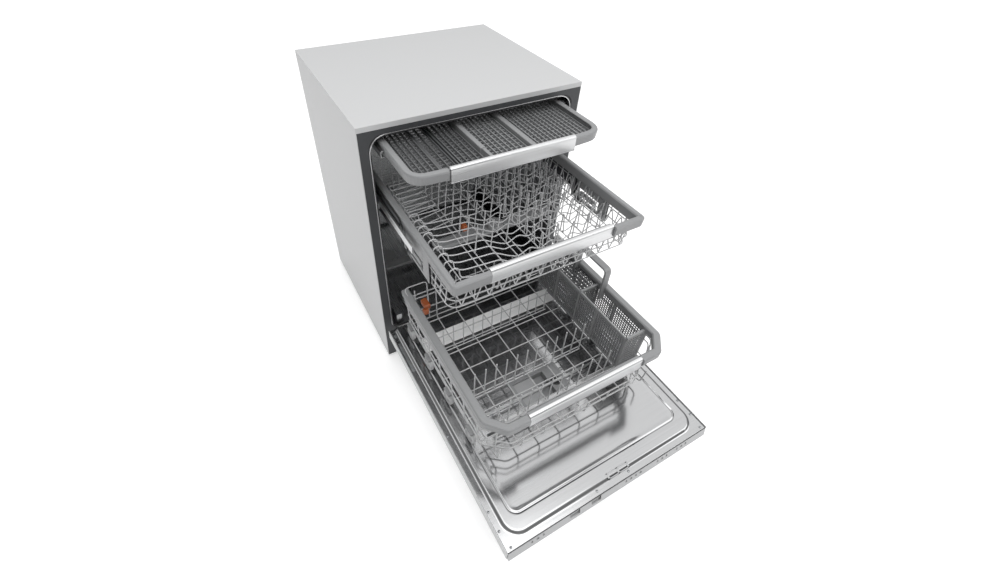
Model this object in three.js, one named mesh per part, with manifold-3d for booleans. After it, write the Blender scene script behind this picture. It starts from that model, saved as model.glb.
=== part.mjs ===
// A built in dishwasher with its door open and its three racks drawn out.
// Millimetres, +Z up. The front of the casing faces -Y, and X runs across it.
import * as THREE from "three";
import { mergeVertices } from "three/addons/utils/BufferGeometryUtils.js";
import Module from "manifold-3d";

const wasm = await Module();
wasm.setup();

// ---- driving dimensions ----
const GAP = 0.3; // between touching pieces

// casing: the front plane is y = 0 and its lower edge is z = 0
const CASING = { halfWidth: 299, depth: 508, height: 777, sheet: 1.2, topThick: 12 };
const FRAME_OPENING = { halfWidth: 276, low: 112, high: 752, corner: 32 };
const TUB = { halfWidth: 279, wall: 1, floor: 106, ceiling: 756, front: 8.3, back: 491 };
const FOOT = { radius: 16, drop: 8, inset: 34, from: 80, to: 448 };
const RUNNER = { halfWidth: 12, y: [44, 468], z: [0, 8] };
const BASE_PAN = { front: 40, z: [8.3, 12] };
const TOE_KICK = { y: [34, 37], z: [2, 86] };
const FRONT_PLATE = { thick: 8, low: 88 };
const SEAL = { width: 5, y: [1, 7] };

// water works: the sump and its filter share one upright axis with the lower spray arm
const SUMP = { y: 250, flange: 69.5, flangeThick: 3, bowl: 52, bowlDeep: 46, bore: 30, hole: 70 };
const FILTER = { radius: 29, tall: 40, gripHalf: 18, gripThick: 6, gripTop: 9 };
const SALT = { x: -170, y: 330, cap: 33.5, hole: 34, capThick: 3 };
const SALT_TANK = { x: [-230, -110], y: [270, 400], bottom: 30, wall: 3 };
const WASH_PUMP = { radius: 42, long: 130, at: [128, 300, 56] };
const DRAIN_PUMP = { radius: 26, long: 70, at: [120, 170, 42] };
const LOWER_SPRAY = { hub: 24, hubTall: 16, halfLong: 215, halfWide: 14, rise: [20, 30] };
const UPPER_SPRAY = { hub: 22, hubTall: 12, halfLong: 172, halfWide: 15, drop: [22, 13] };

// door: lies flat when open, its outer face down
const DOOR = { halfWidth: 297, tip: -688, heel: -30, outer: 118.5, inner: 151.5, skin: 1.5 };
const LINER = { halfWidth: 284, thick: 2, pocketDepth: 1, border: 34 };
const STRIP_DEPTH = 26;
const BUTTON = { x: [-120, -60], halfWidth: 11.5, z: [129.5, 142.5], deep: 6, wellDeep: 9, room: 0.5 };
const LATCH = { x: [-6, 48], y: [-658, -636], tall: 7 };
const DISPENSER = { x: [-77, 61], y: [-445, -349], lift: 8, cup: [-74, 20], wall: 7, cupFloor: 12 };
const DISPENSER_LID = { x: [-73, -15], y: [-437, -357], below: [6, 2] };
const RINSE_CAP = { x: 38, y: -397, radius: 14.5, well: 15, tall: 8, grip: [22, 4] };
const HINGE_ARM = { x: [282, 290], y: [-190, -36] };

// racks: bar is the side of a wire's square section
const BAR = 5;
const THIRD = { halfWidth: 246, front: -158, back: 290, low: 703, high: 729, border: 12, tray: 3 };
const THIRD_RAIL = { out: [2, 10], y: [-18, 285], z: [706, 722] };
const UPPER = { halfWidth: 248, front: -334, back: 138, low: 498, high: 598 };
const UPPER_RAIL = { out: [3, 13], y: [-184, 134], z: [520, 590] };
const LOWER = { halfWidth: 257, front: -526, back: -60, low: 176, high: 333 };
const BASKET = { lineInset: 24, endInset: 14, lines: 7, wallLines: 6, wallFoot: 15 };
const FLOOR_SLOPE = { upper: 8, lower: 26 }; // how far a floor's front edge stands behind the rim's
const HANDLE = { halfWidth: 160, deep: 10, tall: 38, sheet: 2, rise: { third: 8, basket: 3 } };
const WHEEL = { radius: 20, thick: 10, x: 246, y: [-84, -195, -325, -435], rail: 8 };
const CUTLERY = { x: [168, 237], y: [-470, -100], z: [184, 322], wall: 3 };
const TINE = 4; // side of a tine
const UPPER_TINES = { x: [20, 220], y: -100, tall: 62, count: 9 };
const LOWER_TINES = { x: [-200, 140], y: -360, tall: 110, count: 12 };
const CUP_SHELF = { x: [-232, -150], y: [-260, 60], z: 574, bar: 4 };
const GUIDE_ROD = { x: [-200, 200], y: [-403, -397], tall: 6 };
const SUPPORT_BAR = { x: [-200, 200], y: [-445, -437], z: [163, 169] };

const part = new THREE.Group();
// the frame's origin is under the middle of the object with the door open
part.position.set(0, -(CASING.depth + DOOR.tip) / 2, FOOT.drop);

const looks = {
  white: [0xd9dadb, 0.35, 0.3],
  charcoal: [0x3a3c3e, 0.5, 0.1],
  steel: [0xb9bcbf, 0.28, 1],
  grey: [0x8e9092, 0.5, 0],
  nylon: [0xb4b6b8, 0.4, 0],
  black: [0x1b1c1d, 0.7, 0],
  mesh: [0x4a4c4f, 0.45, 0.2],
  green: [0x2f5d50, 0.5, 0],
};
const materials = Object.fromEntries(
  Object.entries(looks).map(([name, [color, roughness, metalness]]) => [
    name,
    new THREE.MeshStandardMaterial({ name, color, roughness, metalness }),
  ])
);

// ---- solid helpers ----
function solid(geometry) {
  const plain = geometry.clone();
  plain.deleteAttribute("normal");
  plain.deleteAttribute("uv");
  const merged = mergeVertices(plain, 1e-4);
  return new wasm.Manifold(
    new wasm.Mesh({
      numProp: 3,
      vertProperties: merged.attributes.position.array,
      triVerts: new Uint32Array(merged.index.array),
    })
  );
}

// A box from its lowest to its highest coordinates.
function box([x0, x1], [y0, y1], [z0, z1]) {
  const geometry = new THREE.BoxGeometry(x1 - x0, y1 - y0, z1 - z0);
  return solid(geometry.translate((x0 + x1) / 2, (y0 + y1) / 2, (z0 + z1) / 2));
}

// A cylinder along X, Y or Z, centred on a point.
function rod(axis, radius, length, [x, y, z], sides = 16) {
  const geometry = new THREE.CylinderGeometry(radius, radius, length, sides);
  if (axis === "x") geometry.rotateZ(Math.PI / 2);
  if (axis === "z") geometry.rotateX(Math.PI / 2);
  return solid(geometry.translate(x, y, z));
}

const join = (solids) => solids.reduce((whole, piece) => whole.add(piece));
const cut = (whole, ...tools) => tools.reduce((left, tool) => left.subtract(tool), whole);

// A rounded rectangle in the plane of X and Z.
function roundedOutline(shape, halfWidth, low, high, r) {
  shape.moveTo(-halfWidth + r, low);
  shape.lineTo(halfWidth - r, low);
  shape.absarc(halfWidth - r, low + r, r, -Math.PI / 2, 0);
  shape.absarc(halfWidth - r, high - r, r, 0, Math.PI / 2);
  shape.absarc(-halfWidth + r, high - r, r, Math.PI / 2, Math.PI);
  shape.absarc(-halfWidth + r, low + r, r, Math.PI, Math.PI * 1.5);
  shape.closePath();
  return shape;
}

// A rounded plate standing in the X-Z plane, from y0 to y1.
function standingPlate(halfWidth, low, high, r, y0, y1) {
  const outline = roundedOutline(new THREE.Shape(), halfWidth, low, high, r);
  const geometry = new THREE.ExtrudeGeometry(outline, {
    depth: y1 - y0,
    bevelEnabled: false,
    curveSegments: 6,
  });
  return solid(geometry.rotateX(Math.PI / 2).translate(0, y1, 0));
}

// Evenly spaced values from a to b, both included.
const spread = (a, b, count) => Array.from({ length: count }, (_, i) => a + ((b - a) * i) / (count - 1));

function add(name, look, whole) {
  const mesh = whole.getMesh();
  const geometry = new THREE.BufferGeometry();
  geometry.setAttribute("position", new THREE.BufferAttribute(mesh.vertProperties, 3));
  geometry.setIndex(new THREE.BufferAttribute(mesh.triVerts, 1));
  geometry.computeVertexNormals();
  const piece = new THREE.Mesh(geometry, materials[look]);
  piece.name = name;
  part.add(piece);
}

const SIDES = [
  ["left", -1],
  ["right", 1],
];
// A range of x mirrored to the side whose sign is given.
const toSide = (sign, a, b) => (sign > 0 ? [a, b] : [-b, -a]);

// ---- casing ----
function casing() {
  const { halfWidth, depth, height, sheet, topThick } = CASING;
  const under = height - topThick - GAP;
  const insideX = halfWidth - sheet - GAP;
  const lid = box([-halfWidth, halfWidth], [0, depth], [height - topThick, height]);
  const lidRoom = box([-insideX, insideX], [sheet, depth - sheet], [under, height - sheet]);
  add("top_panel", "white", cut(lid, lidRoom));
  for (const [side, sign] of SIDES) {
    const x = toSide(sign, halfWidth - sheet, halfWidth);
    add(`${side}_side_panel`, "white", box(x, [0, depth], [0, under]));
    const footX = sign * (halfWidth - FOOT.inset);
    const runner = box([footX - RUNNER.halfWidth, footX + RUNNER.halfWidth], RUNNER.y, RUNNER.z);
    const tall = FOOT.drop + RUNNER.z[1] - 2;
    const feet = [FOOT.from, FOOT.to].map((y) => rod("z", FOOT.radius, tall, [footX, y, tall / 2 - FOOT.drop]));
    add(`${side}_foot_runner`, "black", join([runner, ...feet]));
  }
  add("back_panel", "grey", box([-insideX, insideX], [depth - sheet, depth], [0, under]));
  const panY = [BASE_PAN.front, depth - sheet - GAP];
  add("base_pan", "charcoal", box([-insideX, insideX], panY, BASE_PAN.z));
  add("toe_kick", "charcoal", box([-insideX, insideX], TOE_KICK.y, TOE_KICK.z));
}

// ---- front frame and gasket ----
function front() {
  const { halfWidth, low, high, corner } = FRAME_OPENING;
  const { thick } = FRONT_PLATE;
  const frameX = CASING.halfWidth - CASING.sheet - GAP;
  const frameTop = CASING.height - CASING.topThick - GAP;
  const plate = box([-frameX, frameX], [0, thick], [FRONT_PLATE.low, frameTop]);
  const opening = standingPlate(halfWidth, low, high, corner, -1, thick + 1);
  add("front_frame", "charcoal", cut(plate, opening));

  // the seal lines the opening: each pair is how far it is inset and where its faces are
  const inset = (by, y0, y1) => standingPlate(halfWidth - by, low + by, high - by, corner - by, y0, y1);
  const [y0, y1] = SEAL.y;
  add("door_gasket", "black", cut(inset(GAP, y0, y1), inset(SEAL.width, y0 - 1, y1 + 1)));
}

// ---- tub ----
function tub() {
  const { wall, floor, ceiling, front, back } = TUB;
  const outX = TUB.halfWidth + wall;
  const deep = [front, back + wall];
  for (const [side, sign] of SIDES) {
    const x = toSide(sign, TUB.halfWidth, outX);
    add(`tub_${side}_wall`, "steel", box(x, deep, [floor, ceiling]));
  }
  const inX = TUB.halfWidth - GAP;
  add("tub_back_wall", "steel", box([-inX, inX], [back, back + wall], [floor, ceiling]));
  add("tub_ceiling", "steel", box([-outX, outX], deep, [ceiling + GAP, ceiling + GAP + wall]));

  // the floor carries two wheel rails, level with the open door's liner
  const floorZ = [floor - GAP - wall, floor - GAP];
  const holeTall = 20;
  const sumpHole = rod("z", SUMP.hole, holeTall, [0, SUMP.y, floor], 24);
  const saltHole = rod("z", SALT.hole, holeTall, [SALT.x, SALT.y, floor], 20);
  const rails = SIDES.map(([, sign]) => {
    const x = toSide(sign, WHEEL.x - WHEEL.rail, WHEEL.x + WHEEL.rail);
    return box(x, [front + 6, back - 7], [floorZ[0], DOOR.inner - GAP]);
  });
  add("tub_floor", "steel", join([cut(box([-outX, outX], deep, floorZ), sumpHole, saltHole), ...rails]));
}

// ---- what works under the tub ----
function waterWorks() {
  const { floor } = TUB;
  const { flangeThick, bowlDeep } = SUMP;
  const under = floor - GAP; // the top of the sump's flange and of the salt cap
  const sump = join([
    rod("z", SUMP.flange, flangeThick, [0, SUMP.y, under - flangeThick / 2], 24),
    rod("z", SUMP.bowl, bowlDeep, [0, SUMP.y, under - flangeThick + 1 - bowlDeep / 2], 20),
  ]);
  const bore = rod("z", SUMP.bore, bowlDeep, [0, SUMP.y, under + 3 - bowlDeep / 2], 20);
  add("sump_filter_plate", "mesh", cut(sump, bore));
  const { gripHalf, gripThick } = FILTER;
  const gripY = [SUMP.y - gripThick / 2, SUMP.y + gripThick / 2];
  const filter = join([
    rod("z", FILTER.radius, FILTER.tall, [0, SUMP.y, floor - 1 - FILTER.tall / 2], 20),
    box([-gripHalf, gripHalf], gripY, [floor - 4, floor + FILTER.gripTop]),
  ]);
  add("filter_cylinder", "grey", filter);
  add("circulation_pump", "black", rod("x", WASH_PUMP.radius, WASH_PUMP.long, WASH_PUMP.at, 20));
  add("drain_pump", "green", rod("x", DRAIN_PUMP.radius, DRAIN_PUMP.long, DRAIN_PUMP.at, 16));

  const saltCap = rod("z", SALT.cap, SALT.capThick, [SALT.x, SALT.y, under - SALT.capThick / 2], 20);
  const { x, y, bottom, wall } = SALT_TANK;
  const roof = under - SALT.capThick + GAP;
  const tank = box(x, y, [bottom, roof]);
  const inside = box([x[0] + wall, x[1] - wall], [y[0] + wall, y[1] - wall], [bottom - 1, roof - wall]);
  add("water_softener", "nylon", join([saltCap, cut(tank, inside)]));

  const { hub, hubTall, halfLong, halfWide, rise } = LOWER_SPRAY;
  const armZ = rise.map((up) => floor + up);
  const arm = join([
    rod("z", hub, hubTall, [0, SUMP.y, floor + 10 + hubTall / 2], 16),
    box([-halfLong, halfLong], [SUMP.y - halfWide, SUMP.y + halfWide], armZ),
  ]);
  add("lower_spray_arm", "grey", arm);
}

// ---- door ----
function door() {
  const { halfWidth, tip, heel, outer, inner, skin } = DOOR;
  const underLiner = inner - LINER.thick;
  const tray = cut(
    box([-halfWidth, halfWidth], [tip, heel], [outer, underLiner - GAP]),
    box([-halfWidth + skin, halfWidth - skin], [tip - 1, heel + 1], [outer + skin, inner])
  );
  add("door_outer_panel", "white", tray);

  const { border } = LINER;
  const linerFront = tip + STRIP_DEPTH + GAP;
  const pocketX = LINER.halfWidth - border;
  const pocketZ = [inner - LINER.pocketDepth, inner + 1];
  const pocket = box([-pocketX, pocketX], [linerFront + border, heel - border], pocketZ);
  const grow = ([low, high], by) => [low - by, high + by];
  const hole = box(grow(DISPENSER.x, 1), grow(DISPENSER.y, 1), grow([underLiner, inner], 1));
  const sheet = box([-halfWidth, halfWidth], [linerFront, heel], [underLiner, inner]);
  add("door_inner_liner", "steel", cut(sheet, pocket, hole));

  const stripX = halfWidth - skin - GAP;
  const strip = box([-stripX, stripX], [tip, tip + STRIP_DEPTH], [outer + skin + GAP, inner]);
  const wellX = BUTTON.halfWidth + BUTTON.room;
  const wells = BUTTON.x.map((x) =>
    box([x - wellX, x + wellX], [tip - 1, tip + BUTTON.wellDeep], grow(BUTTON.z, BUTTON.room))
  );
  add("control_strip", "charcoal", cut(strip, ...wells));
  BUTTON.x.forEach((x, i) => {
    const key = box([x - BUTTON.halfWidth, x + BUTTON.halfWidth], [tip, tip + BUTTON.deep], BUTTON.z);
    add(`button_${i + 1}`, "grey", key);
  });

  add("door_latch", "black", box(LATCH.x, LATCH.y, [inner + GAP, inner + LATCH.tall]));
  const { x: capX, y: capY } = RINSE_CAP;
  const cupY = grow(DISPENSER.y, -DISPENSER.wall);
  const shell = cut(
    box(DISPENSER.x, DISPENSER.y, [outer + DISPENSER.lift, inner]),
    box(DISPENSER.cup, cupY, [outer + DISPENSER.cupFloor, inner + 1]),
    rod("z", RINSE_CAP.well, 20, [capX, capY, inner - 4], 16)
  );
  add("dispenser_body", "grey", shell);
  const lidZ = DISPENSER_LID.below.map((down) => inner - down);
  add("dispenser_lid", "nylon", box(DISPENSER_LID.x, DISPENSER_LID.y, lidZ));
  const [gripLong, gripWide] = RINSE_CAP.grip;
  const grip = box(
    [capX - gripLong / 2, capX + gripLong / 2],
    [capY - gripWide / 2, capY + gripWide / 2],
    [inner - 3, inner]
  );
  const disc = rod("z", RINSE_CAP.radius, RINSE_CAP.tall, [capX, capY, inner - 6], 16);
  add("rinse_aid_cap", "black", join([disc, grip]));
  for (const [side, sign] of SIDES) {
    const arm = box(toSide(sign, ...HINGE_ARM.x), HINGE_ARM.y, [outer + skin + GAP, underLiner - 2]);
    add(`${side}_hinge_arm`, "mesh", arm);
  }
}

// ---- racks ----
// A flat grid of crossing bars: each of a and b is a list of bar positions along its axis.
// The bars along a are thinner, so that no two faces lie in one plane.
function grid(plane, a, b, at, bar = BAR) {
  const half = bar / 2;
  const inset = bar / 6;
  const reach = (list, more) => [Math.min(...list) - more, Math.max(...list) + more];
  const place = (u, v, w) => {
    if (plane === "xy") return box(u, v, w);
    return plane === "xz" ? box(u, w, v) : box(w, u, v);
  };
  const across = a.map((u) => place([u - half, u + half], reach(b, half + 1), [at, at + bar]));
  const along = b.map((v) =>
    place(reach(a, half - 1), [v - half + inset, v + half - inset], [at + inset, at + bar - inset])
  );
  return join([...across, ...along]);
}

// The five flat sides of a wire basket, and its handle.
function basket(name, { halfWidth, front, back, low, high }, slope) {
  const { lineInset, endInset, lines, wallLines, wallFoot } = BASKET;
  const floorFront = front + slope;
  const xs = spread(-halfWidth + lineInset, halfWidth - lineInset, lines);
  const ys = spread(floorFront + endInset - 2, back - endInset, lines);
  const zs = [low + wallFoot, (low + high) / 2, high - BAR / 2];
  add(`${name}_floor_grid`, "nylon", grid("xy", xs, ys, low));
  for (const [side, sign] of SIDES) {
    const at = sign > 0 ? halfWidth - BAR : -halfWidth;
    add(`${name}_${side}_side_grid`, "nylon", grid("yz", ys, zs, at));
  }
  const inner = spread(-halfWidth + endInset, halfWidth - endInset, wallLines);
  add(`${name}_back_grid`, "nylon", grid("xz", inner, zs, back - BAR));
  const wall = grid("xz", inner, zs, floorFront);
  const rimX = halfWidth - endInset + 3;
  const rim = box([-rimX, rimX], [front, floorFront + BAR], [high - BAR, high]);
  add(`${name}_front_grid`, "nylon", join([wall, rim]));
  handle(name, front, high + HANDLE.rise.basket);
}

function handle(name, front, top) {
  const { halfWidth, deep, tall, sheet } = HANDLE;
  const face = box([-halfWidth, halfWidth], [front - deep, front - deep + sheet], [top - tall, top]);
  const lip = box([-halfWidth, halfWidth], [front - deep, front - GAP], [top - sheet, top]);
  add(`${name}_handle`, "steel", join([face, lip]));
}

// A fold-down row: a rod along X with upright tines.
function tineRow(name, { x: [x0, x1], y, tall, count }, foot) {
  const half = TINE / 2;
  const ys = [y - half, y + half];
  const tines = spread(x0 + TINE, x1 - TINE, count).map((x) =>
    box([x - half, x + half], ys, [foot, foot + tall])
  );
  add(name, "nylon", join([box([x0, x1], ys, [foot, foot + TINE]), ...tines]));
}

function thirdRack() {
  const { halfWidth, front, back, low, high, border, tray } = THIRD;
  const ring = cut(
    box([-halfWidth, halfWidth], [front, back], [low, high]),
    box([-halfWidth + border, halfWidth - border], [front + border, back - border], [low - 1, high + 1])
  );
  add("third_rack_frame", "nylon", ring);
  const inX = halfWidth - border - GAP;
  const trayY = [front + border + GAP, back - border - GAP];
  add("third_rack_tray", "mesh", box([-inX, inX], trayY, [low, low + tray]));
  handle("third_rack", front, high + HANDLE.rise.third);
  for (const [side, sign] of SIDES) {
    const x = toSide(sign, halfWidth + THIRD_RAIL.out[0], halfWidth + THIRD_RAIL.out[1]);
    add(`third_rack_${side}_rail`, "steel", box(x, THIRD_RAIL.y, THIRD_RAIL.z));
  }
}

function upperRack() {
  basket("upper_rack", UPPER, FLOOR_SLOPE.upper);
  const { halfWidth, front, back, low } = UPPER;
  for (const [side, sign] of SIDES) {
    const x = toSide(sign, halfWidth + UPPER_RAIL.out[0], halfWidth + UPPER_RAIL.out[1]);
    add(`upper_rack_${side}_rail`, "steel", box(x, UPPER_RAIL.y, UPPER_RAIL.z));
  }
  tineRow("upper_rack_tine_row", UPPER_TINES, low + BAR + 1);
  const { x, y, z, bar } = CUP_SHELF;
  add("upper_rack_cup_shelf", "nylon", grid("xy", spread(...x, 3), spread(...y, 5), z, bar));

  const { hub, hubTall, halfLong, halfWide, drop } = UPPER_SPRAY;
  const hubY = (front + back) / 2;
  const hubZ = low - 2 - hubTall / 2;
  const arm = join([
    rod("z", hub, hubTall, [0, hubY, hubZ], 16),
    box([-halfLong, halfLong], [hubY - halfWide, hubY + halfWide], drop.map((down) => low - down)),
    rod("z", 10, 10, [0, hubY, hubZ - 4], 12),
  ]);
  add("upper_spray_arm", "grey", arm);
}

function lowerRack() {
  basket("lower_rack", LOWER, FLOOR_SLOPE.lower);
  const wheelZ = DOOR.inner + GAP + WHEEL.radius;
  for (const [side, sign] of SIDES) {
    const at = sign * WHEEL.x;
    const discs = WHEEL.y.map((y) => rod("x", WHEEL.radius, WHEEL.thick, [at, y, wheelZ], 20));
    const hanger = box([at - 2, at + 2], [Math.min(...WHEEL.y), Math.max(...WHEEL.y)], [wheelZ - 4, wheelZ + 3]);
    add(`lower_rack_${side}_wheels`, "grey", join([hanger, ...discs]));
  }
  tineRow("lower_rack_tine_row", LOWER_TINES, LOWER.low + BAR + 1);
  const { x, y, z, wall } = CUTLERY;
  const hollow = box([x[0] + wall, x[1] - wall], [y[0] + wall, y[1] - wall], [z[0] + wall, z[1] + 1]);
  add("cutlery_basket", "mesh", cut(box(x, y, z), hollow));
  const rodZ = [DOOR.inner + GAP, DOOR.inner + GUIDE_ROD.tall];
  add("rack_guide_rod", "steel", box(GUIDE_ROD.x, GUIDE_ROD.y, rodZ));
  add("rack_support_bar", "steel", box(SUPPORT_BAR.x, SUPPORT_BAR.y, SUPPORT_BAR.z));
}

casing();
front();
tub();
waterWorks();
door();
thirdRack();
upperRack();
lowerRack();

export default part;
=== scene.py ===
"""A built in dishwasher with its door open and three racks drawn out, dressed around its CAD frame.

Lengths inside the functions are millimetres, measured from the casing's front lower edge:
x runs across, y from the front plane towards the back, z up from the casing's lower edge.
"""

import math
import random

import bmesh
import bpy
from mathutils import Matrix, Vector


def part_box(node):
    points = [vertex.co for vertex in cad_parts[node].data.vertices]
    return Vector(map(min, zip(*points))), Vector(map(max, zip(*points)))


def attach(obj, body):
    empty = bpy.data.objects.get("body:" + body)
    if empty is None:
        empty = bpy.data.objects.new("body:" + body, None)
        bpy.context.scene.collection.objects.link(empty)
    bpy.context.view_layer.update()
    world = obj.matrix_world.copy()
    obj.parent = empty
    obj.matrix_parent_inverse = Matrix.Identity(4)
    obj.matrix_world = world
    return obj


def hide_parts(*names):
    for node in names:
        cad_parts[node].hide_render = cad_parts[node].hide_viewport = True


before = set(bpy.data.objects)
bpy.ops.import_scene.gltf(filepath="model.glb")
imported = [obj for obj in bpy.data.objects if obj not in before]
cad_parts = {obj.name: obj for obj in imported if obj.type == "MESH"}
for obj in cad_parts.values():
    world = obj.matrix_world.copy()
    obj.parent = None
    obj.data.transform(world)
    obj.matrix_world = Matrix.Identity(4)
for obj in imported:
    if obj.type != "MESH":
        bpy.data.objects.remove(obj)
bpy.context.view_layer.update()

MM = 0.001
_, FRONT_Y, BASE_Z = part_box("left_side_panel")[0]
SHEET = 0.8  # thickness of the steel sheets drawn here
SIDES = (("left", -1), ("right", 1))


def at(x, y, z):
    """A point of the design, in metres in the frame."""
    return Vector((x * MM, FRONT_Y + y * MM, BASE_Z + z * MM))


def span(*nodes):
    """The lowest and highest corners of some nodes, in design millimetres."""
    lows, highs = zip(*(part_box(node) for node in nodes))
    origin = (0, FRONT_Y, BASE_Z)
    low = [(min(corner[i] for corner in lows) - origin[i]) / MM for i in range(3)]
    high = [(max(corner[i] for corner in highs) - origin[i]) / MM for i in range(3)]
    return low, high


# ---- materials ----
RELIEF_DEPTH = 0.0002


def principled(name, color, rough, metal=0.0, coat=0.0):
    made = bpy.data.materials.new(name)
    made.use_nodes = True
    shader = made.node_tree.nodes["Principled BSDF"]
    shader.inputs["Base Color"].default_value = (*color, 1)
    shader.inputs["Roughness"].default_value = rough
    shader.inputs["Metallic"].default_value = metal
    shader.inputs["Coat Weight"].default_value = coat
    return made, shader


def textured(name, color, rough, metal, scale, vary, bump, coat=0.0):
    """A finish whose tone, roughness and surface vary with noise stretched by scale."""
    made, shader = principled(name, color, rough, metal, coat)
    tree = made.node_tree
    place = tree.nodes.new("ShaderNodeTexCoord")
    stretch = tree.nodes.new("ShaderNodeMapping")
    stretch.inputs["Scale"].default_value = scale
    noise = tree.nodes.new("ShaderNodeTexNoise")
    noise.inputs["Scale"].default_value = 1
    noise.inputs["Detail"].default_value = 4
    tone = tree.nodes.new("ShaderNodeValToRGB")
    tone.color_ramp.elements[0].position = 0.3
    tone.color_ramp.elements[1].position = 0.7
    tone.color_ramp.elements[0].color = (*[c * (1 - vary) for c in color], 1)
    tone.color_ramp.elements[1].color = (*[min(1, c * (1 + vary)) for c in color], 1)
    gloss = tree.nodes.new("ShaderNodeMapRange")
    gloss.inputs["To Min"].default_value = rough * 0.8
    gloss.inputs["To Max"].default_value = rough * 1.2
    relief = tree.nodes.new("ShaderNodeBump")
    relief.inputs["Strength"].default_value = bump
    relief.inputs["Distance"].default_value = RELIEF_DEPTH
    tree.links.new(place.outputs["Object"], stretch.inputs["Vector"])
    tree.links.new(stretch.outputs["Vector"], noise.inputs["Vector"])
    tree.links.new(noise.outputs["Fac"], tone.inputs["Fac"])
    tree.links.new(noise.outputs["Fac"], gloss.inputs["Value"])
    tree.links.new(noise.outputs["Fac"], relief.inputs["Height"])
    tree.links.new(tone.outputs["Color"], shader.inputs["Base Color"])
    tree.links.new(gloss.outputs["Result"], shader.inputs["Roughness"])
    tree.links.new(relief.outputs["Normal"], shader.inputs["Normal"])
    return made


# material name, colour, roughness, metal, then how the noise is stretched, varies and embosses
FINISH = {
    "white": textured("white_paint", (0.48, 0.484, 0.488), 0.38, 0, (900,) * 3, 0.01, 0.12),
    "charcoal": textured("charcoal", (0.04, 0.042, 0.045), 0.5, 0, (700,) * 3, 0.12, 0.3),
    "liner": textured("brushed_liner", (0.42, 0.423, 0.427), 0.14, 1, (6, 900, 900), 0.04, 0.06),
    "tub": textured("tub_steel", (0.5, 0.505, 0.51), 0.28, 1, (500, 8, 500), 0.06, 0.08),
    "handle": textured("brushed_handle", (0.6, 0.603, 0.607), 0.3, 1, (5, 1200, 1200), 0.06, 0.1),
    "edge": textured("strip_steel", (0.36, 0.363, 0.367), 0.35, 1, (8, 900, 900), 0.06, 0.1),
    # the sill's pale colour is partly painted highlight, standing for a bright reflection on the
    # liner
    "sill": textured("sill_painted_highlight", (0.8, 0.8, 0.8), 0.5, 0, (9, 700, 700), 0.1, 0.1),
    "rim": textured("grey_plastic", (0.235, 0.238, 0.242), 0.42, 0, (800,) * 3, 0.05, 0.2),
    "wire": textured("nylon_wire", (0.46, 0.463, 0.468), 0.36, 0, (300,) * 3, 0.06, 0.1, 0.2),
    "slat": textured("tray_slat", (0.105, 0.107, 0.11), 0.36, 0, (600,) * 3, 0.1, 0.2),
    "mesh": textured("dark_mesh", (0.075, 0.077, 0.08), 0.42, 0, (600,) * 3, 0.1, 0.2),
    "basket": textured("basket_grey", (0.2, 0.203, 0.207), 0.42, 0, (600,) * 3, 0.08, 0.2),
    "rubber": textured("rubber", (0.02, 0.02, 0.021), 0.65, 0, (400,) * 3, 0.2, 0.3),
    "black": textured("black_plastic", (0.02, 0.021, 0.022), 0.45, 0, (500,) * 3, 0.15, 0.2),
    "zinc": textured("zinc_steel", (0.35, 0.36, 0.37), 0.4, 1, (120,) * 3, 0.12, 0.1),
    "pale": textured("pale_plastic", (0.3, 0.303, 0.307), 0.4, 0, (500,) * 3, 0.04, 0.15),
    "green": textured("green_plastic", (0.04, 0.13, 0.1), 0.45, 0, (500,) * 3, 0.1, 0.2),
    "orange": textured("orange_plastic", (0.3, 0.075, 0.02), 0.4, 0, (500,) * 3, 0.08, 0.15),
}


# ---- piece helpers ----
def dress(piece, finish, body, replaces=()):
    """Give a piece its finish, the body it rides on and the nodes it replaces."""
    piece.data.materials.clear()
    piece.data.materials.append(FINISH[finish])
    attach(piece, body)
    if replaces:
        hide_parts(*replaces)
    return piece


def mesh_piece(name, points, faces, smooth=False):
    """A mesh piece from design points."""
    data = bpy.data.meshes.new(name)
    data.from_pydata([at(*p) for p in points], [], faces)
    data.update()
    piece = bpy.data.objects.new(name, data)
    bpy.context.collection.objects.link(piece)
    if smooth:
        data.polygons.foreach_set("use_smooth", [True] * len(data.polygons))
    return piece


def bevel(piece, width, segments=2):
    made = piece.modifiers.new("edges", "BEVEL")
    made.width = width * MM
    made.segments = segments
    made.limit_method = "ANGLE"
    made.angle_limit = math.radians(40)
    made.harden_normals = False
    return piece


def solid(piece, thickness, offset):
    """Give an open sheet its thickness."""
    made = piece.modifiers.new("sheet", "SOLIDIFY")
    made.thickness = thickness * MM
    made.offset = offset


def fix_normals(piece):
    """Turn all faces of a piece outwards."""
    shape = bmesh.new()
    shape.from_mesh(piece.data)
    bmesh.ops.recalc_face_normals(shape, faces=shape.faces)
    shape.to_mesh(piece.data)
    shape.free()


def tube_faces(rings, n, first=0):
    """Quads between rings of n points each, every ring closed on itself."""
    faces = []
    for ring in range(rings - 1):
        for j in range(n):
            a, b = first + ring * n + j, first + ring * n + (j + 1) % n
            faces.append((a, b, b + n, a + n))
    return faces


BOX_FACES = [(0, 3, 2, 1), (4, 5, 6, 7), (0, 1, 5, 4), (1, 2, 6, 5), (2, 3, 7, 6), (3, 0, 4, 7)]
BOX_CORNERS = ((0, 0), (1, 0), (1, 1), (0, 1))


def boxes(name, blocks, edge=0.0):
    """One piece made of boxes, each given as its x, y and z ranges."""
    points, faces = [], []
    for x, y, z in blocks:
        base = len(points)
        points += [(x[i], y[j], z[k]) for k in (0, 1) for i, j in BOX_CORNERS]
        faces += [tuple(base + i for i in face) for face in BOX_FACES]
    piece = mesh_piece(name, points, faces)
    return bevel(piece, edge) if edge else piece


def unit(v):
    return v.normalized() if v.length > 1e-9 else Vector((0, 0, 1))


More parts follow.
